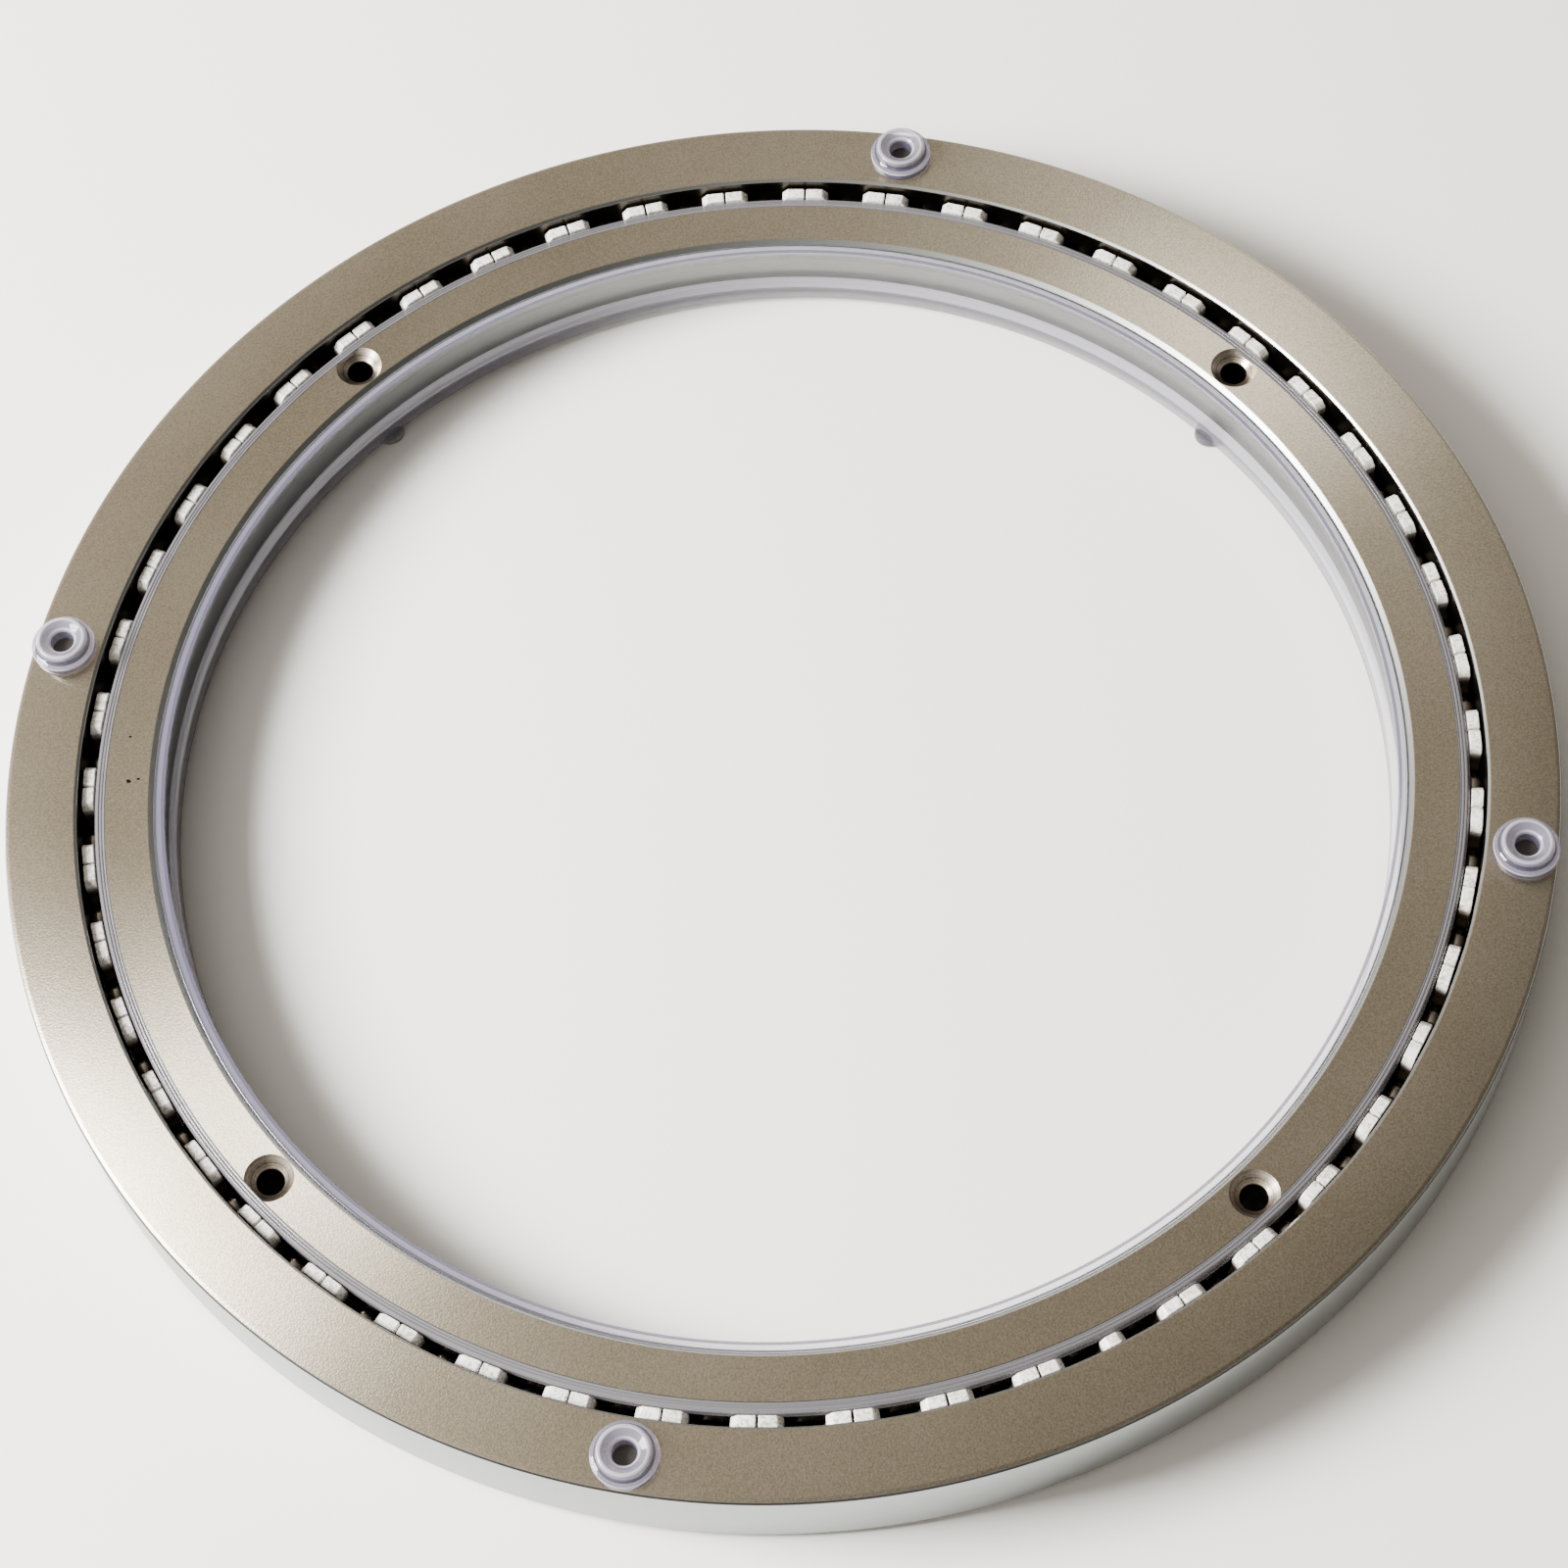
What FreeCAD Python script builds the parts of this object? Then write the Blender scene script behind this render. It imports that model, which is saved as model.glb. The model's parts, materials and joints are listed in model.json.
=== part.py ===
import FreeCAD, Part
import math
import os
import Sketcher

# Lazy susan bearing: a ring that stays still, a ring that turns round it, and a strip of caged
# balls rolling between the two. Millimetres, +Z up, origin at the centre of the surface it stands on.

os.makedirs("parts", exist_ok=True)
doc = FreeCAD.newDocument("LazySusanBearing")

# Driving dimensions
sheet = doc.addObject("Spreadsheet::Sheet", "Sizes")
sizes = [
    ("overall_diameter", 300.0, "outside of the turning ring"),
    ("outer_ring_width", 14.0, "turning ring, outside to its race wall"),
    ("outer_ring_height", 18.5, "turning ring, underside to top face"),
    ("outer_ring_lift", 2.0, "air under the turning ring"),
    ("race_gap", 3.1, "space between the two rings"),
    ("inner_ring_width", 11.4, "fixed ring, race wall to bore"),
    ("inner_ring_height", 17.0, "fixed ring, underside to top face"),
    ("edge_chamfer", 0.5, "turned bevel on the visible corners"),
    ("ball_diameter", 6.35, "steel ball"),
    ("ball_running_clearance", 0.05, "ball to race flank"),
    ("ball_height", 8.6, "ball centre above the fixed ring's underside"),
    ("ball_count", 50, "windows in the cage strip, one ball each"),
    ("cage_side_clearance", 0.3, "cage strip to each ring"),
    ("cage_floor_lift", 2.4, "cage strip's underside above the fixed ring's underside"),
    ("cage_top_drop", 0.1, "finger tips below the fixed ring's top face"),
    ("pocket_clearance", 0.15, "ball to the sides of its pocket"),
    ("snap_bite", 0.35, "how much narrower than the ball the throat of a pocket is"),
    ("snap_height", 2.0, "throat above the ball centre"),
    ("snap_lead", 3.4, "where the throat's ramp starts, above the ball centre"),
    ("window_margin", 1.05, "window wider than the ball"),
    ("finger_slit", 0.45, "cut between the two fingers of a pair"),
    ("finger_root", 3.0, "undivided foot of a block under its slit"),
    ("finger_bevel", 1.2, "sloped shoulder of a finger beside its window"),
    ("first_window_angle", -66.45, "azimuth of the first window"),
    ("screw_hole_diameter", 5.3, "through hole in the fixed ring"),
    ("screw_sink_diameter", 9.4, "countersink at the top face"),
    ("screw_sink_angle", 90.0, "full angle of the countersink"),
    ("screw_inset", 5.7, "hole centre outside the bore wall"),
    ("screw_count", 4, "countersunk holes"),
    ("first_screw_angle", 37.4, "azimuth of the first hole"),
    ("edge_band_width", 2.0, "clear band on the fixed ring's outer corner"),
    ("edge_band_height", 2.4, "depth of the band's seat"),
    ("sleeve_wall", 2.2, "clear sleeve lining the bore"),
    ("sleeve_drop", 0.8, "sleeve below the fixed ring's top face"),
    ("foot_diameter", 6.2, "clear foot"),
    ("foot_thickness", 1.5, "foot, which sets the fixed ring off the surface"),
    ("foot_set_in", 0.2, "foot centre inside the bore wall"),
    ("foot_count", 4, "feet"),
    ("bumper_diameter", 12.5, "clear bumper"),
    ("bumper_height", 4.0, "bumper above the turning ring's top face"),
    ("bumper_hole_diameter", 4.2, "hole down the middle of a bumper"),
    ("bumper_edge_margin", 0.15, "bumper inside the ring's outer edge"),
    ("bumper_count", 4, "bumpers"),
    ("first_bumper_angle", 74.0, "azimuth of the first bumper"),
]
for line, (alias, number, note) in enumerate(sizes, 1):
    sheet.set(f"A{line}", note)
    sheet.set(f"B{line}", str(number))
    sheet.setAlias(f"B{line}", alias)
doc.recompute()

# Radii and heights that several pieces share, as expressions of the sheet
OUTER_R = "Sizes.overall_diameter / 2"
OUTER_RACE_R = f"({OUTER_R} - Sizes.outer_ring_width)"
INNER_RACE_R = f"({OUTER_RACE_R} - Sizes.race_gap)"
BORE_R = f"({INNER_RACE_R} - Sizes.inner_ring_width)"
PITCH_R = f"({OUTER_RACE_R} - Sizes.race_gap / 2)"
INNER_BASE_Z = "Sizes.foot_thickness"
INNER_TOP_Z = "(Sizes.foot_thickness + Sizes.inner_ring_height)"
OUTER_BASE_Z = "Sizes.outer_ring_lift"
OUTER_TOP_Z = "(Sizes.outer_ring_lift + Sizes.outer_ring_height)"
BALL_Z = "(Sizes.foot_thickness + Sizes.ball_height)"
BALL_R = "Sizes.ball_diameter / 2"

# A race is a groove with two 45 degree flanks, each a running clearance from the ball
RACE_DEPTH = f"(({BALL_R} + Sizes.ball_running_clearance) * sqrt(2))"
RACE_MOUTH = f"({RACE_DEPTH} - Sizes.race_gap / 2)"

# The strip closes on itself with one finger where every other place has a pair
WINDOW = "(Sizes.ball_diameter + Sizes.window_margin)"
FINGER = (
    f"((2 * pi * {PITCH_R} - Sizes.ball_count * {WINDOW}"
    " - (Sizes.ball_count - 1) * Sizes.finger_slit) / (2 * Sizes.ball_count - 1))"
)
PITCH_ANGLE = f"(({WINDOW} + Sizes.finger_slit + 2 * {FINGER}) / {PITCH_R} * 180 / pi)"


def number(expression):
    """The value of an expression of the sheet."""
    return float(sheet.evalExpression(expression))


def new_body(label, turn=None):
    """A body, turned about Z by an expression where one is given."""
    body = doc.addObject("PartDesign::Body", label)
    body.Label = label
    if turn is not None:
        body.Placement = FreeCAD.Placement(FreeCAD.Vector(0, 0, 0), FreeCAD.Rotation(FreeCAD.Vector(0, 0, 1), 1))
        body.setExpression("Placement.Rotation.Angle", turn)
    return body


def new_sketch(body, name, plane, lift=None):
    """A sketch on one of the body's own origin planes, raised by an expression where one is given."""
    sketch = body.newObject("Sketcher::SketchObject", name)
    support = [feature for feature in body.Origin.OriginFeatures if feature.Role == plane][0]
    sketch.AttachmentSupport = [(support, "")]
    sketch.MapMode = "FlatFace"
    if lift is not None:
        sketch.setExpression("AttachmentOffset.Base.z", lift)
    return sketch


def draw_outline(sketch, corners):
    """A closed outline of straight runs, each corner held at two expressions from the sketch origin."""
    points = [FreeCAD.Vector(number(across), number(along), 0) for across, along in corners]
    first = len(sketch.Geometry)
    sketch.addGeometry([Part.LineSegment(a, b) for a, b in zip(points, points[1:] + points[:1])], False)
    joins = []
    held = []
    for index, point in enumerate(points):
        following = (index + 1) % len(points)
        joins.append(Sketcher.Constraint("Coincident", first + index, 2, first + following, 1))
        held.append(Sketcher.Constraint("DistanceX", -1, 1, first + index, 1, point.x))
        held.append(Sketcher.Constraint("DistanceY", -1, 1, first + index, 1, point.y))
    sketch.addConstraint(joins)
    expressions = [expression for corner in corners for expression in corner]
    for place, expression in zip(sketch.addConstraint(held), expressions):
        sketch.setExpression(f"Constraints[{place}]", expression)


def revolve(body, sketch, name):
    """The sketch turned once round its own vertical axis."""
    turned = body.newObject("PartDesign::Revolution", name)
    turned.Profile = sketch
    turned.ReferenceAxis = (sketch, ["V_Axis"])
    turned.Angle = 360
    sketch.Visibility = False
    return turned


def repeat(body, feature, name, count, angle):
    """The feature patterned about the body's Z axis."""
    pattern = body.newObject("PartDesign::PolarPattern", name)
    pattern.Originals = [feature]
    axis = [line for line in body.Origin.OriginFeatures if line.Role == "Z_Axis"][0]
    pattern.Axis = (axis, [""])
    pattern.setExpression("Angle", angle)
    pattern.setExpression("Occurrences", count)
    body.Tip = pattern
    return pattern


def cut_checked(body, solid_before, feature):
    """Recompute and make sure that the cut took material away."""
    doc.recompute()
    if not feature.Shape.Volume < solid_before.Shape.Volume - 0.01:
        raise RuntimeError(f"{feature.Label} cuts nothing from {body.Label}")


def cut_outwards(body, solid_before, outline, name):
    """A pocket from the outline out through the cage strip."""
    pocket = body.newObject("PartDesign::Pocket", name)
    pocket.Profile = outline
    pocket.Reversed = True
    pocket.setExpression("Length", "Sizes.race_gap * 3")
    outline.Visibility = False
    cut_checked(body, solid_before, pocket)
    return pocket


# Fixed ring: a solid aluminium hoop with a ball race in its outer wall, a seat for the clear edge
# band on its outer top corner and four countersunk screw holes
def make_inner_ring():
    body = new_body("inner_ring", "Sizes.first_screw_angle")
    section = new_sketch(body, "inner_ring_section", "XZ_Plane")
    draw_outline(section, [
        (BORE_R, INNER_BASE_Z),
        (INNER_RACE_R, INNER_BASE_Z),
        (INNER_RACE_R, f"{BALL_Z} - {RACE_MOUTH}"),
        (f"{PITCH_R} - {RACE_DEPTH}", BALL_Z),
        (INNER_RACE_R, f"{BALL_Z} + {RACE_MOUTH}"),
        (INNER_RACE_R, f"{INNER_TOP_Z} - Sizes.edge_band_height"),
        (f"{INNER_RACE_R} - Sizes.edge_band_width", f"{INNER_TOP_Z} - Sizes.edge_band_height"),
        (f"{INNER_RACE_R} - Sizes.edge_band_width", INNER_TOP_Z),
        (f"{BORE_R} + Sizes.edge_chamfer", INNER_TOP_Z),
        (BORE_R, f"{INNER_TOP_Z} - Sizes.edge_chamfer"),
    ])
    hoop = revolve(body, section, "inner_ring_hoop")
    spot = new_sketch(body, "screw_spot", "XY_Plane", INNER_TOP_Z)
    centre = FreeCAD.Vector(number(f"{BORE_R} + Sizes.screw_inset"), 0, 0)
    spot.addGeometry(Part.Circle(centre, FreeCAD.Vector(0, 0, 1), number("Sizes.screw_hole_diameter / 2")), False)
    spot.addConstraint(Sketcher.Constraint("PointOnObject", 0, 3, -1))
    out = spot.addConstraint(Sketcher.Constraint("DistanceX", -1, 1, 0, 3, centre.x))
    spot.setExpression(f"Constraints[{out}]", f"{BORE_R} + Sizes.screw_inset")
    wide = spot.addConstraint(Sketcher.Constraint("Diameter", 0, number("Sizes.screw_hole_diameter")))
    spot.setExpression(f"Constraints[{wide}]", "Sizes.screw_hole_diameter")
    doc.recompute()
    hole = body.newObject("PartDesign::Hole", "screw_hole")
    hole.Profile = spot
    spot.Visibility = False
    doc.recompute()
    hole.DepthType = "ThroughAll"
    hole.HoleCutType = "Countersink"
    hole.setExpression("Diameter", "Sizes.screw_hole_diameter")
    hole.setExpression("HoleCutDiameter", "Sizes.screw_sink_diameter")
    hole.setExpression("HoleCutCountersinkAngle", "Sizes.screw_sink_angle")
    cut_checked(body, hoop, hole)
    holes = repeat(body, hole, "screw_holes", "Sizes.screw_count", "360")
    cut_checked(body, hole, holes)
    return body


# Turning ring: a solid aluminium hoop with the other ball race in its inner wall
def make_outer_ring():
    body = new_body("outer_ring")
    section = new_sketch(body, "outer_ring_section", "XZ_Plane")
    draw_outline(section, [
        (OUTER_RACE_R, OUTER_BASE_Z),
        (OUTER_R, OUTER_BASE_Z),
        (OUTER_R, f"{OUTER_TOP_Z} - Sizes.edge_chamfer"),
        (f"{OUTER_R} - Sizes.edge_chamfer", OUTER_TOP_Z),
        (f"{OUTER_RACE_R} + Sizes.edge_chamfer", OUTER_TOP_Z),
        (OUTER_RACE_R, f"{OUTER_TOP_Z} - Sizes.edge_chamfer"),
        (OUTER_RACE_R, f"{BALL_Z} + {RACE_MOUTH}"),
        (f"{PITCH_R} + {RACE_DEPTH}", BALL_Z),
        (OUTER_RACE_R, f"{BALL_Z} - {RACE_MOUTH}"),
    ])
    revolve(body, section, "outer_ring_hoop")
    return body


# Clear band: soft plastic pressed on the fixed ring's outer top corner, facing the gap
def make_edge_band():
    body = new_body("edge_band")
    section = new_sketch(body, "edge_band_section", "XZ_Plane")
    seat_z = f"{INNER_TOP_Z} - Sizes.edge_band_height"
    draw_outline(section, [
        (f"{INNER_RACE_R} - Sizes.edge_band_width", seat_z),
        (INNER_RACE_R, seat_z),
        (INNER_RACE_R, INNER_TOP_Z),
        (f"{INNER_RACE_R} - Sizes.edge_band_width", INNER_TOP_Z),
    ])
    revolve(body, section, "edge_band_hoop")
    return body


# Clear sleeve: soft plastic lining the bore, standing a little short of the ring's top face
def make_bore_sleeve():
    body = new_body("bore_sleeve")
    section = new_sketch(body, "bore_sleeve_section", "XZ_Plane")
    top_z = f"{INNER_TOP_Z} - Sizes.sleeve_drop"
    draw_outline(section, [
        (f"{BORE_R} - Sizes.sleeve_wall", INNER_BASE_Z),
        (BORE_R, INNER_BASE_Z),
        (BORE_R, top_z),
        (f"{BORE_R} - Sizes.sleeve_wall", top_z),
    ])
    revolve(body, section, "bore_sleeve_hoop")
    return body


# Ball cage: one moulded nylon strip of flat blocks that bends at the thin floor of each window.
# A block is split into two fingers, but for the last one, at whose side the strip's ends meet
def make_cage():
    body = new_body("ball_cage", "Sizes.first_window_angle")
    base_z = f"({INNER_BASE_Z} + Sizes.cage_floor_lift)"
    tip_z = f"({INNER_TOP_Z} - Sizes.cage_top_drop)"
    count = round(number("Sizes.ball_count"))
    plan = new_sketch(body, "cage_plan", "XY_Plane", base_z)
    inside = f"(({INNER_RACE_R} + Sizes.cage_side_clearance) / cos({PITCH_ANGLE} / 2))"
    outside = f"({OUTER_RACE_R} - Sizes.cage_side_clearance)"
    for radius in (outside, inside):
        draw_outline(plan, [
            (f"{radius} * cos({index} * {PITCH_ANGLE})", f"{radius} * sin({index} * {PITCH_ANGLE})")
            for index in range(count)
        ])
    strip = body.newObject("PartDesign::Pad", "cage_strip")
    strip.Profile = plan
    strip.setExpression("Length", f"{tip_z} - {base_z}")
    plan.Visibility = False
    doc.recompute()

    # A window is a pocket round the ball, the throat that the ball snaps through and a flared mouth
    pocket = f"({BALL_R} + Sizes.pocket_clearance)"
    corner = f"({pocket} * (sqrt(2) - 1))"
    throat = "((Sizes.ball_diameter - Sizes.snap_bite) / 2)"
    half_window = f"({WINDOW} / 2)"
    above = f"({tip_z} + Sizes.finger_bevel)"
    start = f"({INNER_RACE_R} - Sizes.race_gap)"
    side = [
        (corner, f"{BALL_Z} - {pocket}"),
        (pocket, f"{BALL_Z} - {corner}"),
        (throat, f"{BALL_Z} + Sizes.snap_height"),
        (half_window, f"{BALL_Z} + Sizes.snap_lead"),
        (half_window, f"{tip_z} - Sizes.finger_bevel"),
        (f"{half_window} + Sizes.finger_bevel", tip_z),
        (f"{half_window} + Sizes.finger_bevel", above),
    ]
    other_side = [(f"-({across})", along) for across, along in reversed(side)]
    outline = new_sketch(body, "window_outline", "YZ_Plane", start)
    draw_outline(outline, side + other_side)
    window = cut_outwards(body, strip, outline, "window")
    windows = repeat(body, window, "windows", "Sizes.ball_count", f"(Sizes.ball_count - 1) * {PITCH_ANGLE}")
    cut_checked(body, window, windows)

    # The slit runs down the middle of a block, square to it
    outline = new_sketch(body, "slit_outline", "YZ_Plane")
    square_to = FreeCAD.Rotation(FreeCAD.Vector(0, 1, 0), 1)
    outline.AttachmentOffset = FreeCAD.Placement(FreeCAD.Vector(0, 0, 0), square_to)
    outline.setExpression("AttachmentOffset.Rotation.Angle", f"{PITCH_ANGLE} / 2")
    outline.setExpression("AttachmentOffset.Base.x", f"{start} * sin({PITCH_ANGLE} / 2)")
    outline.setExpression("AttachmentOffset.Base.z", f"{start} * cos({PITCH_ANGLE} / 2)")
    draw_outline(outline, [
        ("-Sizes.finger_slit / 2", f"{base_z} + Sizes.finger_root"),
        ("Sizes.finger_slit / 2", f"{base_z} + Sizes.finger_root"),
        ("Sizes.finger_slit / 2", above),
        ("-Sizes.finger_slit / 2", above),
    ])
    slit = cut_outwards(body, windows, outline, "slit")
    slits = repeat(body, slit, "slits", "Sizes.ball_count - 1", f"(Sizes.ball_count - 2) * {PITCH_ANGLE}")
    cut_checked(body, slit, slits)

    # The strip's two ends face each other under the first window, beside the undivided block
    outline = new_sketch(body, "strip_ends_outline", "YZ_Plane", start)
    draw_outline(outline, [
        (f"-{pocket}", f"{base_z} - Sizes.finger_slit"),
        (f"-{pocket} + Sizes.finger_slit", f"{base_z} - Sizes.finger_slit"),
        (f"-{pocket} + Sizes.finger_slit", f"{BALL_Z} - {corner}"),
        (f"-{pocket}", f"{BALL_Z} - {corner}"),
    ])
    cut_outwards(body, slits, outline, "strip_ends")
    return body


# Steel balls: one in each window. Each is faceted, with its corners on the true ball, so that the
# whole ring of them stays light
def make_balls():
    meridians = 6
    latitudes = (-50, 0, 50)
    radius = number(BALL_R)
    rings = []
    for latitude in latitudes:
        out = radius * math.cos(math.radians(latitude))
        up = radius * math.sin(math.radians(latitude))
        rings.append([
            FreeCAD.Vector(
                out * math.cos(2 * math.pi * step / meridians), out * math.sin(2 * math.pi * step / meridians), up
            )
            for step in range(meridians)
        ])
    loops = [rings[0], rings[-1]]
    for lower, upper in zip(rings, rings[1:]):
        for step in range(meridians):
            after = (step + 1) % meridians
            loops.append([lower[step], lower[after], upper[after], upper[step]])
    faces = [Part.Face(Part.makePolygon(loop + [loop[0]])) for loop in loops]
    ball = Part.makeSolid(Part.makeShell(faces))
    if ball.Volume < 0:
        ball.reverse()
    circle = number(PITCH_R)
    first = number("Sizes.first_window_angle")
    step_angle = number(PITCH_ANGLE)
    copies = []
    for index in range(round(number("Sizes.ball_count"))):
        azimuth = math.radians(first + index * step_angle)
        copy = ball.copy()
        copy.rotate(FreeCAD.Vector(0, 0, 0), FreeCAD.Vector(0, 0, 1), math.degrees(azimuth))
        copy.translate(FreeCAD.Vector(circle * math.cos(azimuth), circle * math.sin(azimuth), 0))
        copies.append(copy)
    balls = doc.addObject("Part::Feature", "balls")
    balls.Label = "balls"
    balls.Shape = Part.makeCompound(copies)
    balls.Placement = FreeCAD.Placement(FreeCAD.Vector(0, 0, number(BALL_Z)), FreeCAD.Rotation())
    return balls


def place_on_circle(body, radius, azimuth, height):
    """Put a small round piece at a radius and azimuth, standing at a height."""
    body.setExpression("Placement.Base.x", f"({radius}) * cos({azimuth})")
    body.setExpression("Placement.Base.y", f"({radius}) * sin({azimuth})")
    body.setExpression("Placement.Base.z", height)


# Clear bumper: a soft disc with a hole down its middle, stuck on the turning ring
def make_bumper(index):
    body = new_body(f"bumper_{index + 1}")
    section = new_sketch(body, f"bumper_section_{index + 1}", "XZ_Plane")
    draw_outline(section, [
        ("Sizes.bumper_hole_diameter / 2", "0"),
        ("Sizes.bumper_diameter / 2", "0"),
        ("Sizes.bumper_diameter / 2", "Sizes.bumper_height"),
        ("Sizes.bumper_hole_diameter / 2", "Sizes.bumper_height"),
    ])
    revolve(body, section, f"bumper_disc_{index + 1}")
    radius = f"{OUTER_R} - Sizes.bumper_diameter / 2 - Sizes.bumper_edge_margin"
    place_on_circle(body, radius, f"(Sizes.first_bumper_angle + {index} * 360 / Sizes.bumper_count)", OUTER_TOP_Z)
    return body


# Clear foot: a small soft disc half under the bore wall, inboard of each screw hole
def make_foot(index):
    body = new_body(f"foot_{index + 1}")
    spot = new_sketch(body, f"foot_outline_{index + 1}", "XY_Plane")
    spot.addGeometry(
        Part.Circle(FreeCAD.Vector(0, 0, 0), FreeCAD.Vector(0, 0, 1), number("Sizes.foot_diameter / 2")), False
    )
    spot.addConstraint(Sketcher.Constraint("Coincident", 0, 3, -1, 1))
    wide = spot.addConstraint(Sketcher.Constraint("Diameter", 0, number("Sizes.foot_diameter")))
    spot.setExpression(f"Constraints[{wide}]", "Sizes.foot_diameter")
    disc = body.newObject("PartDesign::Pad", f"foot_disc_{index + 1}")
    disc.Profile = spot
    disc.setExpression("Length", "Sizes.foot_thickness")
    spot.Visibility = False
    azimuth = f"(Sizes.first_screw_angle + {index} * 360 / Sizes.foot_count)"
    place_on_circle(body, f"{BORE_R} - Sizes.foot_set_in", azimuth, "0")
    return body


pieces = [
    make_inner_ring(),
    make_outer_ring(),
    make_edge_band(),
    make_bore_sleeve(),
    make_cage(),
    make_balls(),
]
pieces += [make_bumper(index) for index in range(round(number("Sizes.bumper_count")))]
pieces += [make_foot(index) for index in range(round(number("Sizes.foot_count")))]

# Every object must have computed, and every piece must be sound, before anything is written
doc.recompute()
for item in doc.Objects:
    if "Invalid" in item.State or "Error" in item.State:
        raise RuntimeError(f"{item.Label} did not compute: {item.State}")
for piece in pieces:
    if piece.Shape.isNull() or not piece.Shape.isValid():
        raise RuntimeError(f"{piece.Label} has no sound shape")
for piece in pieces:
    piece.Shape.exportStep(f"parts/{piece.Label}.step")
    print(piece.Label, len(piece.Shape.Solids), round(piece.Shape.Volume, 1))
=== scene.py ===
import json
import math
import bpy
from mathutils import Matrix, Vector

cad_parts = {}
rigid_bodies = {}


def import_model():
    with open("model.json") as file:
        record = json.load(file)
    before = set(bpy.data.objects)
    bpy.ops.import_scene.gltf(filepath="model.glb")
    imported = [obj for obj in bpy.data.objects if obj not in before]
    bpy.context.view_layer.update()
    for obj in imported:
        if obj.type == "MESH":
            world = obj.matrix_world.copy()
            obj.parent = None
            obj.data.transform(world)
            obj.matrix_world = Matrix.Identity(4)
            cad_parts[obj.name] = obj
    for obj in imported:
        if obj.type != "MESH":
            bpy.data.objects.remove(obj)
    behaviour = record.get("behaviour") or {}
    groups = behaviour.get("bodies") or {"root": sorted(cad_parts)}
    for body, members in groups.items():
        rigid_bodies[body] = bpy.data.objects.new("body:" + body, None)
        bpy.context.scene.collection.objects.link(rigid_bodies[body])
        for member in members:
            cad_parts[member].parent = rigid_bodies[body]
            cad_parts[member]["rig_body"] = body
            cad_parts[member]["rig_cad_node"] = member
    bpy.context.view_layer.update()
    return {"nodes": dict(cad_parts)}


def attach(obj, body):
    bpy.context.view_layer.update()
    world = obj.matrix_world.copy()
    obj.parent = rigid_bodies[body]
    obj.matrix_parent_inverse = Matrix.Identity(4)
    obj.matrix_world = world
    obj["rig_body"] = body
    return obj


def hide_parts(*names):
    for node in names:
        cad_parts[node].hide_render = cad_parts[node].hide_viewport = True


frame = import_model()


# Camera: where the photograph was taken from, 0.7 m away and 62 degrees above the table on the -Y
# side, rolled a little. It is aimed at a point just short of the ring's centre.
distance = 0.7
elevation = 61.72
roll = -6.2
aim = Vector((0.00078, -0.00829, 0.0205))
lens = bpy.data.cameras.new("camera")
lens.sensor_width = 36
lens.lens = 83.68
lens.clip_start = 0.05
camera = bpy.data.objects.new("camera", lens)
bpy.context.scene.collection.objects.link(camera)
bpy.context.scene.camera = camera
tilt = math.radians(90 - elevation)
stand = aim + distance * Vector((0, -math.sin(tilt), math.cos(tilt)))
turned = Matrix.Rotation(tilt, 4, "X") @ Matrix.Rotation(math.radians(roll), 4, "Z")
camera.matrix_world = Matrix.Translation(stand) @ turned


# Table and light: a white matt board under soft daylight from a window on the left. The room is
# bright towards the window and overhead, and dim on the right and behind the camera, so the satin
# metal is light on the left and dark on the right. Its walls glow a little all round, low down.
def colour(code):
    """An sRGB hex colour as the linear colour that a shader takes."""
    parts = [int(code[place:place + 2], 16) / 255 for place in (1, 3, 5)]
    return [part / 12.92 if part <= 0.04045 else ((part + 0.055) / 1.055) ** 2.4 for part in parts] + [1]


def add_node(material, kind, settings, inputs):
    """One node with its own settings, and its inputs as values or as the sockets that feed them."""
    node = material.node_tree.nodes.new(kind)
    for name, value in settings.items():
        setattr(node, name, value)
    for name, value in inputs.items():
        if isinstance(value, bpy.types.NodeSocket):
            material.node_tree.links.new(value, node.inputs[name])
        else:
            node.inputs[name].default_value = value
    return node


def new_material(name, base, roughness, metallic):
    """A named material, with its shader's own sockets set."""
    material = bpy.data.materials.new(name)
    material.use_nodes = True
    shader = material.node_tree.nodes["Principled BSDF"]
    shader.inputs["Base Color"].default_value = colour(base)
    shader.inputs["Roughness"].default_value = roughness
    shader.inputs["Metallic"].default_value = metallic
    return material, shader


bpy.ops.object.select_all(action="DESELECT")
bpy.ops.mesh.primitive_plane_add(size=12, location=(0, 0, 0))
table = bpy.context.object
table.name = "table"
# The board is matt, with a pulp grain of about a millimetre that only breaks up its shine.
board, shader = new_material("matt_white_board", "#fdfcfa", 0.75, 0)
position = add_node(board, "ShaderNodeTexCoord", {}, {}).outputs["Object"]
pulp = add_node(board, "ShaderNodeTexNoise", {}, {"Vector": position, "Scale": 900, "Detail": 2})
dent = add_node(
    board, "ShaderNodeBump", {}, {"Height": pulp.outputs["Fac"], "Strength": 0.05, "Distance": 0.0001}
)
board.node_tree.links.new(dent.outputs["Normal"], shader.inputs["Normal"])
table.data.materials.append(board)

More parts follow.
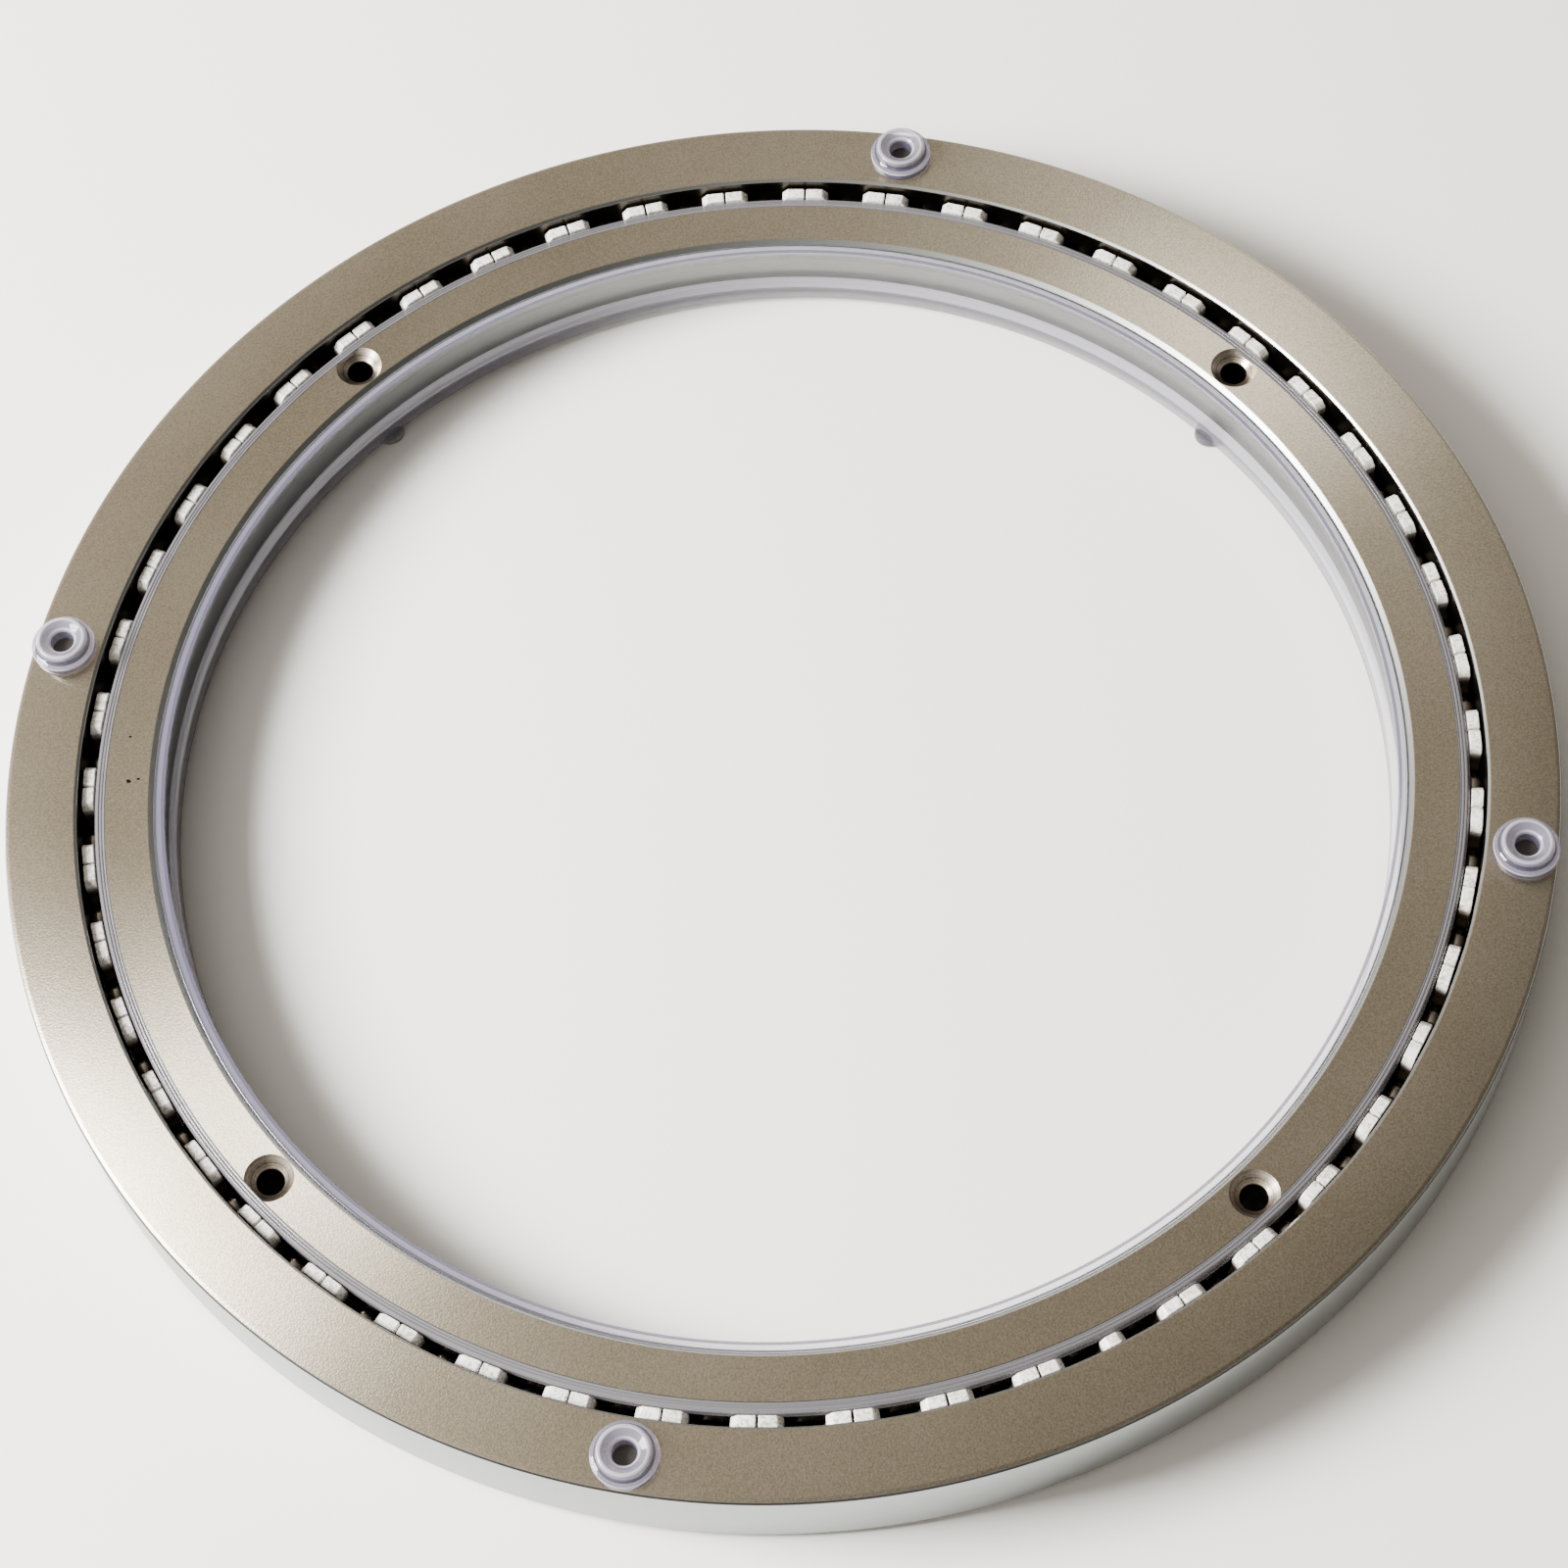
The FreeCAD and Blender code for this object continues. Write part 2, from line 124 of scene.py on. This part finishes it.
brightest_way = (-1.1, 0.25, 0.48)
dimmest = 0.05
brightest = 1.35
room = bpy.data.worlds.new("room")
room.use_nodes = True
way = add_node(room, "ShaderNodeTexCoord", {}, {}).outputs["Generated"]
bright_side = add_node(
    room, "ShaderNodeVectorMath", {"operation": "DOT_PRODUCT"}, {0: way, 1: brightest_way}
)
share = add_node(
    room, "ShaderNodeMapRange", {}, {"Value": bright_side.outputs["Value"], "From Min": -0.2, "From Max": 0.9}
)
curve = add_node(room, "ShaderNodeMath", {"operation": "POWER"}, {0: share.outputs["Result"], 1: 1.6})
level = add_node(
    room, "ShaderNodeMath", {"operation": "MULTIPLY_ADD"},
    {0: curve.outputs["Value"], 1: brightest, 2: dimmest},
)
rise = add_node(room, "ShaderNodeSeparateXYZ", {}, {"Vector": way}).outputs["Z"]
glow = add_node(
    room, "ShaderNodeMapRange", {}, {"Value": rise, "From Min": 0.62, "From Max": 0.1, "To Max": 0.3}
)
total = add_node(
    room, "ShaderNodeMath", {"operation": "ADD"}, {0: level.outputs["Value"], 1: glow.outputs["Result"]}
)
background = room.node_tree.nodes["Background"]
room.node_tree.links.new(total.outputs["Value"], background.inputs["Strength"])
background.inputs["Color"].default_value = colour("#f8efe0")
bpy.context.scene.world = room

window = bpy.data.lights.new("window", "AREA")
window.shape = "RECTANGLE"
window.size = 0.5
window.size_y = 0.5
window.energy = 74
window.color = (1.0, 0.985, 0.96)
lamp = bpy.data.objects.new("window", window)
bpy.context.scene.collection.objects.link(lamp)
window_distance = 1.2
bearing = math.radians(180)
height = math.radians(35)
lamp.location = window_distance * Vector((
    math.cos(bearing) * math.cos(height),
    math.sin(bearing) * math.cos(height),
    math.sin(height),
))
lamp.rotation_mode = "QUATERNION"
lamp.rotation_quaternion = lamp.location.to_track_quat("Z", "Y")


# Fixed ring: a hoop turned from thick aluminium plate, its top face fine-turned and anodised
# champagne, its walls left silver. A ball race runs round its outer wall and four screw holes are
# countersunk into it.
def turn(name, section, sides):
    """A turned piece: a closed section of radii and heights in mm, spun once round Z."""
    bpy.ops.object.select_all(action="DESELECT")
    bpy.ops.mesh.primitive_circle_add(vertices=len(section), radius=0.01)
    piece = bpy.context.object
    piece.name = name
    for vertex, (radius, height) in zip(piece.data.vertices, section):
        vertex.co = (radius / 1000, 0, height / 1000)
    bpy.ops.object.mode_set(mode="EDIT")
    bpy.ops.mesh.select_all(action="SELECT")
    bpy.ops.mesh.spin(steps=sides, angle=2 * math.pi, center=(0, 0, 0), axis=(0, 0, 1))
    bpy.ops.mesh.select_all(action="SELECT")
    bpy.ops.mesh.remove_doubles(threshold=0.000001)
    bpy.ops.mesh.normals_make_consistent(inside=False)
    bpy.ops.object.mode_set(mode="OBJECT")
    return piece


def copy_of(piece, name):
    """A copy of a piece, with its own mesh."""
    copy = piece.copy()
    copy.data = piece.data.copy()
    copy.name = name
    bpy.context.scene.collection.objects.link(copy)
    return copy


def settle(piece):
    """Applies the piece's modifiers, so that its shape is all in its mesh."""
    bpy.ops.object.select_all(action="DESELECT")
    bpy.context.view_layer.objects.active = piece
    piece.select_set(True)
    for modifier in list(piece.modifiers):
        bpy.ops.object.modifier_apply(modifier=modifier.name)


def soften(piece, width, segments, limit):
    """Rounds the edges that turn by more than a limit, and shades the rest smooth. The width is in
    mm and the limit in degrees."""
    rounding = piece.modifiers.new("rounding", "BEVEL")
    rounding.width = width / 1000
    rounding.segments = segments
    rounding.limit_method = "ANGLE"
    rounding.angle_limit = math.radians(limit)
    settle(piece)
    bpy.ops.object.shade_smooth_by_angle(angle=math.radians(limit))


def finish_by_place(piece, finishes, choose):
    """Gives each face of a piece the finish that a rule picks for its place: its distance from the
    axis and its height in mm, and how far it faces up, from -1 to 1."""
    for finish in finishes:
        piece.data.materials.append(finish)
    for polygon in piece.data.polygons:
        reach = math.hypot(polygon.center.x, polygon.center.y) * 1000
        level = polygon.center.z * 1000
        polygon.material_index = finishes.index(choose(reach, level, polygon.normal.z))


def on_ring(radius, azimuth, height):
    """A point from its radius and height in mm and its angle round the ring, in metres."""
    angle = math.radians(azimuth)
    return Vector((radius * math.cos(angle), radius * math.sin(angle), height)) / 1000


# The Mix node's sockets for two colours, and the one that gives the mixed colour.
FIRST, SECOND, MIXED = 6, 7, 2


def anodised_face(name, light, dark, specks):
    """Fine-turned face, anodised: a sparkling grain over concentric micro-grooves that stretch
    highlights across the ring, with faint clouds 30 mm wide. The etched grain is about 0.1 mm, and is
    drawn 0.4 mm wide so that it shows. Specks are places of dirt, as points and radii in metres."""
    material, shader = new_material(name, light, 0.37, 1)
    shader.inputs["Anisotropic"].default_value = 0.88
    shader.inputs["Anisotropic Rotation"].default_value = 0.232
    position = add_node(material, "ShaderNodeTexCoord", {}, {}).outputs["Object"]
    grain = add_node(material, "ShaderNodeTexNoise", {}, {"Vector": position, "Scale": 2500, "Detail": 3})
    cloud = add_node(material, "ShaderNodeTexNoise", {}, {"Vector": position, "Scale": 35, "Detail": 2})
    blend = add_node(
        material, "ShaderNodeMath", {"operation": "MULTIPLY_ADD"},
        {0: cloud.outputs["Fac"], 1: 0.3, 2: grain.outputs["Fac"]},
    )
    tone = add_node(
        material, "ShaderNodeMapRange", {},
        {"Value": blend.outputs["Value"], "From Min": 0.45, "From Max": 0.84},
    )
    mix = add_node(
        material, "ShaderNodeMix", {"data_type": "RGBA"},
        {"Factor": tone.outputs["Result"], FIRST: colour(dark), SECOND: colour(light)},
    )
    for place, radius in specks:
        distance = add_node(
            material, "ShaderNodeVectorMath", {"operation": "DISTANCE"}, {0: position, 1: place}
        )
        ragged = add_node(
            material, "ShaderNodeMath", {"operation": "MULTIPLY_ADD"},
            {0: grain.outputs["Fac"], 1: radius * 1.6, 2: distance.outputs["Value"]},
        )
        spot = add_node(
            material, "ShaderNodeMapRange", {},
            {"Value": ragged.outputs["Value"], "From Min": radius * 1.7, "From Max": radius * 2.0},
        )
        mix = add_node(
            material, "ShaderNodeMix", {"data_type": "RGBA"},
            {"Factor": spot.outputs["Result"], FIRST: colour("#2e2925"), SECOND: mix.outputs[MIXED]},
        )
    dent = add_node(
        material, "ShaderNodeBump", {},
        {"Height": grain.outputs["Fac"], "Strength": 0.4, "Distance": 0.00008},
    )
    material.node_tree.links.new(mix.outputs[MIXED], shader.inputs["Base Color"])
    material.node_tree.links.new(dent.outputs["Normal"], shader.inputs["Normal"])
    return material


def silver_wall(name, light, dark, roughness):
    """Turned wall, clear anodised: an even cool satin with faint machining lines round it, drawn
    three times coarser than the real 0.1 mm feed so that they show, and a grain of 0.5 mm."""
    material, shader = new_material(name, light, roughness, 1)
    position = add_node(material, "ShaderNodeTexCoord", {}, {}).outputs["Object"]
    height = add_node(material, "ShaderNodeSeparateXYZ", {}, {"Vector": position}).outputs["Z"]
    lines = add_node(
        material, "ShaderNodeTexNoise", {"noise_dimensions": "1D"},
        {"W": height, "Scale": 3200, "Detail": 2},
    )
    grain = add_node(material, "ShaderNodeTexNoise", {}, {"Vector": position, "Scale": 2000, "Detail": 2})
    blend = add_node(
        material, "ShaderNodeMath", {"operation": "MULTIPLY_ADD"},
        {0: grain.outputs["Fac"], 1: 0.5, 2: lines.outputs["Fac"]},
    )
    tone = add_node(
        material, "ShaderNodeMapRange", {},
        {"Value": blend.outputs["Value"], "From Min": 0.5, "From Max": 1.0},
    )
    mix = add_node(
        material, "ShaderNodeMix", {"data_type": "RGBA"},
        {"Factor": tone.outputs["Result"], FIRST: colour(dark), SECOND: colour(light)},
    )
    dent = add_node(
        material, "ShaderNodeBump", {},
        {"Height": blend.outputs["Value"], "Strength": 0.06, "Distance": 0.00005},
    )
    material.node_tree.links.new(mix.outputs[MIXED], shader.inputs["Base Color"])
    material.node_tree.links.new(dent.outputs["Normal"], shader.inputs["Normal"])
    return material


ring_top = 18.5
dirt = [
    (on_ring(126.46, 175.9, ring_top), 0.00045),
    (on_ring(124.56, 175.7, ring_top), 0.00028),
    (on_ring(127.06, 171.4, ring_top), 0.00024),
]
face_finish = anodised_face("champagne_anodised_aluminium_face", "#c1b8a8", "#a19783", dirt)
wall_finish = silver_wall("clear_anodised_aluminium_wall", "#a0a4a4", "#919595", 0.34)
# The race is dulled and browned, partly by grease and partly as painted shade down in the narrow
# gap, and the bore is a shade darker than the outer wall.
grease_and_painted_shade_race_finish = silver_wall("greased_aluminium_race_painted_shade", "#4a443c", "#2c2823", 0.3)
bore_finish = silver_wall("clear_anodised_aluminium_bore", "#8f9290", "#83867f", 0.3)
# The countersinks are cut after the anodising, so they are bare and warm. The drilled holes are
# painted dark inside, as painted shade.
sink_finish = silver_wall("bare_countersunk_aluminium", "#d9d0c4", "#85786a", 0.3)
painted_shade_hole_finish = silver_wall("drilled_hole_wall_painted_shade", "#3a342e", "#231f1b", 0.4)


def fixed_ring_finish(reach, level, up):
    """The top face, the race wall in the gap, the bore, and silver everywhere else."""
    if up > 0.9 and level > ring_top - 0.2:
        return face_finish
    if 129.7 < reach < 133.2 and level < 17:
        return grease_and_painted_shade_race_finish
    if reach < 121.6:
        return bore_finish
    return wall_finish


def drill_finish(reach, level, up):
    """What the countersink cuts, and what the drill cuts below it."""
    return sink_finish if level > 16.6 else painted_shade_hole_finish


fixed_ring = turn("fixed_ring", [
    (121.5, 1.5), (132.9, 1.5), (132.9, 7.09), (129.89, 10.1), (132.9, 13.11),
    (132.9, 16.1), (130.9, 16.1), (130.9, 18.5), (122.4, 18.5), (121.5, 17.6),
], 360)
soften(fixed_ring, 0.08, 1, 20)
ring_finishes = (wall_finish, face_finish, grease_and_painted_shade_race_finish, bore_finish, sink_finish, painted_shade_hole_finish)
finish_by_place(fixed_ring, ring_finishes, fixed_ring_finish)
drill = turn("drill", [(0, -1), (2.65, -1), (2.65, 16.45), (4.7, 18.5), (5.2, 19.0), (0, 19.0)], 48)
finish_by_place(drill, ring_finishes, drill_finish)
hole_circle = 127.2
first_hole = 37.4
for quarter in range(4):
    cutter = copy_of(drill, "cutter")
    cutter.data.transform(Matrix.Translation(on_ring(hole_circle, first_hole + 90 * quarter, 0)))
    cut = fixed_ring.modifiers.new("screw_hole", "BOOLEAN")
    cut.object = cutter
    cut.solver = "EXACT"
    settle(fixed_ring)
    bpy.data.objects.remove(cutter)
bpy.data.objects.remove(drill)
bpy.ops.object.shade_smooth_by_angle(angle=math.radians(20))
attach(fixed_ring, "base")
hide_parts("inner_ring")


# Edge band: an extruded strip of clear soft plastic pressed into a seat on the fixed ring's outer
# top corner. It shows lilac-grey, streaked round the ring by its extrusion lines.
def clear_plastic(name, tint, body, clearness, roughness, streaks):
    """Clear soft plastic with a faint lilac body, glossy. Body is how much of what is behind it the
    plastic hides. An extruded one has fine lines, 0.4 mm apart, that run round the axis."""
    material, shader = new_material(name, tint, roughness, 0)
    shader.inputs["Alpha"].default_value = body
    shader.inputs["Transmission Weight"].default_value = clearness
    shader.inputs["IOR"].default_value = 1.49
    shader.inputs["Specular IOR Level"].default_value = 0.9
    if streaks == 0:
        return material
    position = add_node(material, "ShaderNodeTexCoord", {}, {}).outputs["Object"]
    flat = add_node(
        material, "ShaderNodeVectorMath", {"operation": "MULTIPLY"}, {0: position, 1: (1, 1, 0)}
    )
    radius = add_node(material, "ShaderNodeVectorMath", {"operation": "LENGTH"}, {0: flat.outputs["Vector"]})
    height = add_node(material, "ShaderNodeSeparateXYZ", {}, {"Vector": position}).outputs["Z"]
    across = add_node(
        material, "ShaderNodeMath", {"operation": "MULTIPLY_ADD"},
        {0: height, 1: 0.7, 2: radius.outputs["Value"]},
    )
    lines = add_node(
        material, "ShaderNodeTexNoise", {"noise_dimensions": "1D"},
        {"W": across.outputs["Value"], "Scale": 2500, "Detail": 1},
    )
    shade = add_node(
        material, "ShaderNodeMapRange", {},
        {"Value": lines.outputs["Fac"], "From Min": 0.35, "From Max": 0.65},
    )
    darker = [0.6 * part for part in colour(tint)[:3]] + [1]
    mix = add_node(
        material, "ShaderNodeMix", {"data_type": "RGBA"},
        {"Factor": shade.outputs["Result"], FIRST: colour(tint), SECOND: darker},
    )
    dent = add_node(
        material, "ShaderNodeBump", {},
        {"Height": lines.outputs["Fac"], "Strength": streaks, "Distance": 0.0001},
    )
    material.node_tree.links.new(mix.outputs[MIXED], shader.inputs["Base Color"])
    material.node_tree.links.new(dent.outputs["Normal"], shader.inputs["Normal"])
    return material


band_finish = clear_plastic("clear_extruded_pvc", "#918e94", 0.45, 0, 0.2, 0.3)
edge_strip = turn("edge_strip", [
    (130.94, 16.14), (132.9, 16.14), (132.9, 18.0), (132.4, 18.5), (132.1, 18.5), (131.95, 18.35),
    (131.8, 18.5), (131.5, 18.5), (131.35, 18.35), (131.2, 18.5), (130.94, 18.5),
], 360)
soften(edge_strip, 0.1, 2, 20)
edge_strip.data.materials.append(band_finish)
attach(edge_strip, "base")
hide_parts("edge_band")


# Bore sleeve: a clear soft plastic liner pushed into the bore, with a lip at its top and a thicker
# one at its foot. It stops a little below the ring's top face. Its rims and its foot's inner side
# are tinted darker, as painted shade, because light leaves them to other sides, and the top lip and
# the upper side of the foot's lip are tinted lighter, as painted light that the plastic scatters.
liner_finish = clear_plastic("clear_extruded_pvc_liner", "#85838c", 0.12, 0, 0.1, 0.1)
painted_light_lip_finish = clear_plastic("clear_extruded_pvc_lip_painted_light", "#bfbbdb", 0.28, 0, 0.12, 0.15)
painted_light_foot_lip_finish = clear_plastic("clear_extruded_pvc_foot_lip_painted_light", "#c4c1d2", 0.5, 0, 0.12, 0.15)
rim_finish = clear_plastic("clear_extruded_pvc_rim", "#6b687e", 0.82, 0, 0.2, 0.15)
in_shade_finish = clear_plastic("clear_extruded_pvc_in_shade", "#5a5765", 0.7, 0, 0.2, 0.15)
at_metal_finish = clear_plastic("clear_extruded_pvc_at_the_metal", "#3f3c4c", 0.9, 0, 0.2, 0.15)


def sleeve_finish(reach, level, up):
    """The top lip's rims at the metal and at the bore, in painted shade, the lip between them and the
    upper side of the foot's lip, in painted light, the shaded side below it, and the thin wall."""
    if level > 17.55 and 121.05 < reach < 121.45:
        return at_metal_finish
    if level > 17.55 and reach < 119.85:
        return rim_finish
    if level > 17.3 and reach < 121.2:
        return painted_light_lip_finish
    if 5.5 < level < 7.6 and reach < 120.4:
        return painted_light_foot_lip_finish
    if level < 5.5 and reach < 119.7:
        return in_shade_finish
    return liner_finish


sleeve = turn("bore_liner", [
    (121.46, 1.5), (121.46, 17.6), (121.36, 17.7), (121.05, 17.7), (120.1, 17.7), (119.45, 17.58),
    (119.3, 17.2), (119.3, 15.8), (119.6, 15.3), (120.5, 15.0), (120.5, 7.6), (119.6, 6.0),
    (119.35, 5.6), (119.3, 5.2), (119.3, 1.9), (119.6, 1.5),
], 360)
bpy.ops.object.shade_smooth_by_angle(angle=math.radians(50))
finish_by_place(
    sleeve,
    (liner_finish, painted_light_lip_finish, painted_light_foot_lip_finish, rim_finish, in_shade_finish, at_metal_finish),
    sleeve_finish,
)
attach(sleeve, "base")
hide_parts("bore_sleeve")


# Feet: small clear discs of cast polyurethane stuck under the bore wall beside each screw hole, half
# of each showing inside the ring. They look darker than the sleeve, because they lie in its shade.
foot_finish = clear_plastic("clear_cast_polyurethane_foot", "#5f5d66", 0.68, 0.2, 0.12, 0)
foot_circle = 121.3
disc = turn("foot_disc", [(0, 0), (2.9, 0), (3.1, 0.3), (3.1, 1.2), (2.9, 1.48), (0, 1.48)], 48)
bpy.ops.object.shade_smooth_by_angle(angle=math.radians(40))
disc.data.materials.append(foot_finish)
for quarter in range(4):
    foot = copy_of(disc, f"foot_disc_{quarter + 1}")
    foot.data.transform(Matrix.Translation(on_ring(foot_circle, first_hole + 90 * quarter, 0)))
    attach(foot, "base")
    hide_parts(f"foot_{quarter + 1}")
bpy.data.objects.remove(disc)


# Balls: hardened and polished steel, quarter inch, one in each window of the cage. A thin film of
# grease dulls them in smears of about 2 mm, so the gap shows only brownish glints.
steel, shader = new_material("greased_bearing_steel", "#8a8278", 0.16, 1)
position = add_node(steel, "ShaderNodeTexCoord", {}, {}).outputs["Object"]
grease = add_node(steel, "ShaderNodeTexNoise", {}, {"Vector": position, "Scale": 600, "Detail": 2})
sheen = add_node(
    steel, "ShaderNodeMapRange", {}, {"Value": grease.outputs["Fac"], "To Min": 0.08, "To Max": 0.3}
)
steel.node_tree.links.new(sheen.outputs["Result"], shader.inputs["Roughness"])
windows = 50
first_window = -66.45
pitch = 7.2435
bpy.ops.object.select_all(action="DESELECT")
bpy.ops.mesh.primitive_uv_sphere_add(segments=24, ring_count=14, radius=0.003175, location=(0, 0, 0))
first_ball = bpy.context.object
first_ball.data.transform(Matrix.Translation((0.13445, 0, 0.0101)))
bpy.ops.object.shade_smooth()
first_ball.data.materials.append(steel)
circle_of_balls = []
for place in range(windows):
    ball = copy_of(first_ball, "ball")
    ball.data.transform(Matrix.Rotation(math.radians(first_window + pitch * place), 4, "Z"))
    circle_of_balls.append(ball)
bpy.data.objects.remove(first_ball)
bpy.ops.object.select_all(action="DESELECT")
for ball in circle_of_balls:
    ball.select_set(True)
bpy.context.view_layer.objects.active = circle_of_balls[0]
bpy.ops.object.join()
ball_circle = bpy.context.object
ball_circle.name = "steel_balls"
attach(ball_circle, "ball_row")
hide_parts("balls")


# Ball cage: one white nylon strip, moulded flat and bent round, with a pair of fingers between
# windows. Its shape is the frame's, with the moulding's small edge radii added. It is white on top,
# with flow marks of about a millimetre, and brown further down, partly from grease and partly as
# painted shade in the gap.
nylon, shader = new_material("moulded_white_nylon", "#f3f1ea", 0.42, 0)
shader.inputs["IOR"].default_value = 1.53
position = add_node(nylon, "ShaderNodeTexCoord", {}, {}).outputs["Object"]
flow = add_node(
    nylon, "ShaderNodeTexNoise", {}, {"Vector": position, "Scale": 900, "Detail": 4, "Distortion": 1.5}
)
streak = add_node(
    nylon, "ShaderNodeMapRange", {}, {"Value": flow.outputs["Fac"], "From Min": 0.36, "From Max": 0.56}
)
marbled = add_node(
    nylon, "ShaderNodeMix", {"data_type": "RGBA"},
    {"Factor": streak.outputs["Result"], FIRST: colour("#b9b3a6"), SECOND: colour("#faf9f5")},
)
height = add_node(nylon, "ShaderNodeSeparateXYZ", {}, {"Vector": position}).outputs["Z"]
top_above_grease_and_shade = add_node(
    nylon, "ShaderNodeMapRange", {}, {"Value": height, "From Min": 0.0152, "From Max": 0.0178}
)
mix = add_node(
    nylon, "ShaderNodeMix", {"data_type": "RGBA"},
    {"Factor": top_above_grease_and_shade.outputs["Result"], FIRST: colour("#4d4236"), SECOND: marbled.outputs[MIXED]},
)
dent = add_node(
    nylon, "ShaderNodeBump", {}, {"Height": flow.outputs["Fac"], "Strength": 0.2, "Distance": 0.0001}
)
nylon.node_tree.links.new(mix.outputs[MIXED], shader.inputs["Base Color"])
nylon.node_tree.links.new(dent.outputs["Normal"], shader.inputs["Normal"])
strip = copy_of(frame["nodes"]["ball_cage"], "cage_strip")
strip.parent = None
# The copy is a new piece, so it loses the marks of the node it was copied from.
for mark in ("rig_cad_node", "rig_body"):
    if mark in strip:
        del strip[mark]
bpy.ops.object.select_all(action="DESELECT")
bpy.context.view_layer.objects.active = strip
strip.select_set(True)
bpy.ops.object.mode_set(mode="EDIT")
bpy.ops.mesh.select_all(action="SELECT")
bpy.ops.mesh.remove_doubles(threshold=0.000002)
bpy.ops.mesh.select_all(action="SELECT")
bpy.ops.mesh.dissolve_limited(angle_limit=math.radians(1))
bpy.ops.object.mode_set(mode="OBJECT")
soften(strip, 0.2, 2, 20)
strip.data.materials.clear()
strip.data.materials.append(nylon)
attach(strip, "ball_row")
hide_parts("ball_cage")


# Turning ring: the outer hoop, turned and anodised like the fixed one, with the other race in its
# inner wall and a small bevel on each corner of its top face. The lower part of its rounded outer
# edge is painted dark brown, as painted shade, so it shows as a dark line between the champagne
# face and the silver wall.
painted_shade_edge_finish = silver_wall("anodised_aluminium_rounded_edge_painted_shade", "#26211b", "#1b1713", 0.3)
turning_top = 20.5


def turning_ring_finish(reach, level, up):
    """The top face, the race wall in the gap, the outer edge in painted shade, and silver everywhere else."""
    if up > 0.9 and level > turning_top - 0.2:
        return face_finish
    if 135.9 < reach < 139.2 and level < 17:
        return grease_and_painted_shade_race_finish
    if 149.7 < reach < 149.96 and level > 19.5:
        return painted_shade_edge_finish
    return wall_finish


turning_ring = turn("turning_ring", [
    (136.0, 2.0), (149.6, 2.0), (150.0, 2.4), (150.0, 19.5), (149.7, 20.2), (149.0, 20.5),
    (136.5, 20.5), (136.0, 20.0), (136.0, 13.11), (139.01, 10.1), (136.0, 7.09),
], 360)
soften(turning_ring, 0.08, 1, 20)
finish_by_place(turning_ring, (wall_finish, face_finish, grease_and_painted_shade_race_finish, painted_shade_edge_finish), turning_ring_finish)
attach(turning_ring, "turntable")
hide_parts("outer_ring")


# Bumpers: clear cast polyurethane buttons, each with a broad base, a raised ring, a dished middle and
# a hole, held on the turning ring by a film of adhesive. Where the hole leaves the film open it is
# painted near black, as painted shade in the hole. The steep walls are tinted darker, as a painted
# reflection of what lies beside them, and the crests lighter, as painted highlight.
button_finish = clear_plastic("clear_cast_polyurethane", "#b5b2cc", 0.36, 0.4, 0.1, 0)
painted_highlight_crest_finish = clear_plastic("clear_cast_polyurethane_crest_painted_highlight", "#f3f1ff", 0.46, 0.3, 0.1, 0)
painted_reflection_steep_finish = clear_plastic("clear_cast_polyurethane_steep_wall_painted_reflection", "#3d3a52", 0.78, 0.15, 0.1, 0)
film, shader = new_material("adhesive_film_painted_shade", "#3a332e", 0.5, 0)
position = add_node(film, "ShaderNodeTexCoord", {}, {}).outputs["Object"]
film_speckle = add_node(film, "ShaderNodeTexNoise", {}, {"Vector": position, "Scale": 1500, "Detail": 3})
mix = add_node(
    film, "ShaderNodeMix", {"data_type": "RGBA"},
    {"Factor": film_speckle.outputs["Fac"], FIRST: colour("#100e0c"), SECOND: colour("#3a332f")},
)
film.node_tree.links.new(mix.outputs[MIXED], shader.inputs["Base Color"])


def bumper_finish(reach, level, up):
    """The film at the bottom of the hole, in painted shade, the steep walls and the step round the raised
    ring, in painted reflection, the crests of the ring and of the base, in painted highlight, and the
    plain button."""
    if up > 0.9 and level < 20.7:
        return film
    if abs(up) < 0.3 or 5.15 < reach < 5.5:
        return painted_reflection_steep_finish
    if level > 24.2 or 23.2 < level < 23.6 or 6 < reach < 6.2 and level > 22:
        return painted_highlight_crest_finish
    return button_finish


button = turn("button", [
    (0, 20.52), (6.0, 20.52), (6.25, 20.8), (6.25, 22.1), (6.1, 22.5), (5.5, 22.75), (5.2, 23.0),
    (5.1, 23.8), (4.85, 24.3), (4.4, 24.5), (4.1, 24.42), (2.9, 23.62), (2.5, 23.35), (2.3, 23.0),
    (2.3, 20.6), (0, 20.6),
], 96)
bpy.ops.object.shade_smooth_by_angle(angle=math.radians(40))
finish_by_place(button, (button_finish, painted_reflection_steep_finish, film, painted_highlight_crest_finish), bumper_finish)
bumper_circle = 143.6
first_bumper = 74
for quarter in range(4):
    bumper = copy_of(button, f"bumper_button_{quarter + 1}")
    bumper.data.transform(Matrix.Translation(on_ring(bumper_circle, first_bumper + 90 * quarter, 0)))
    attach(bumper, "turntable")
    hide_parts(f"bumper_{quarter + 1}")
bpy.data.objects.remove(button)
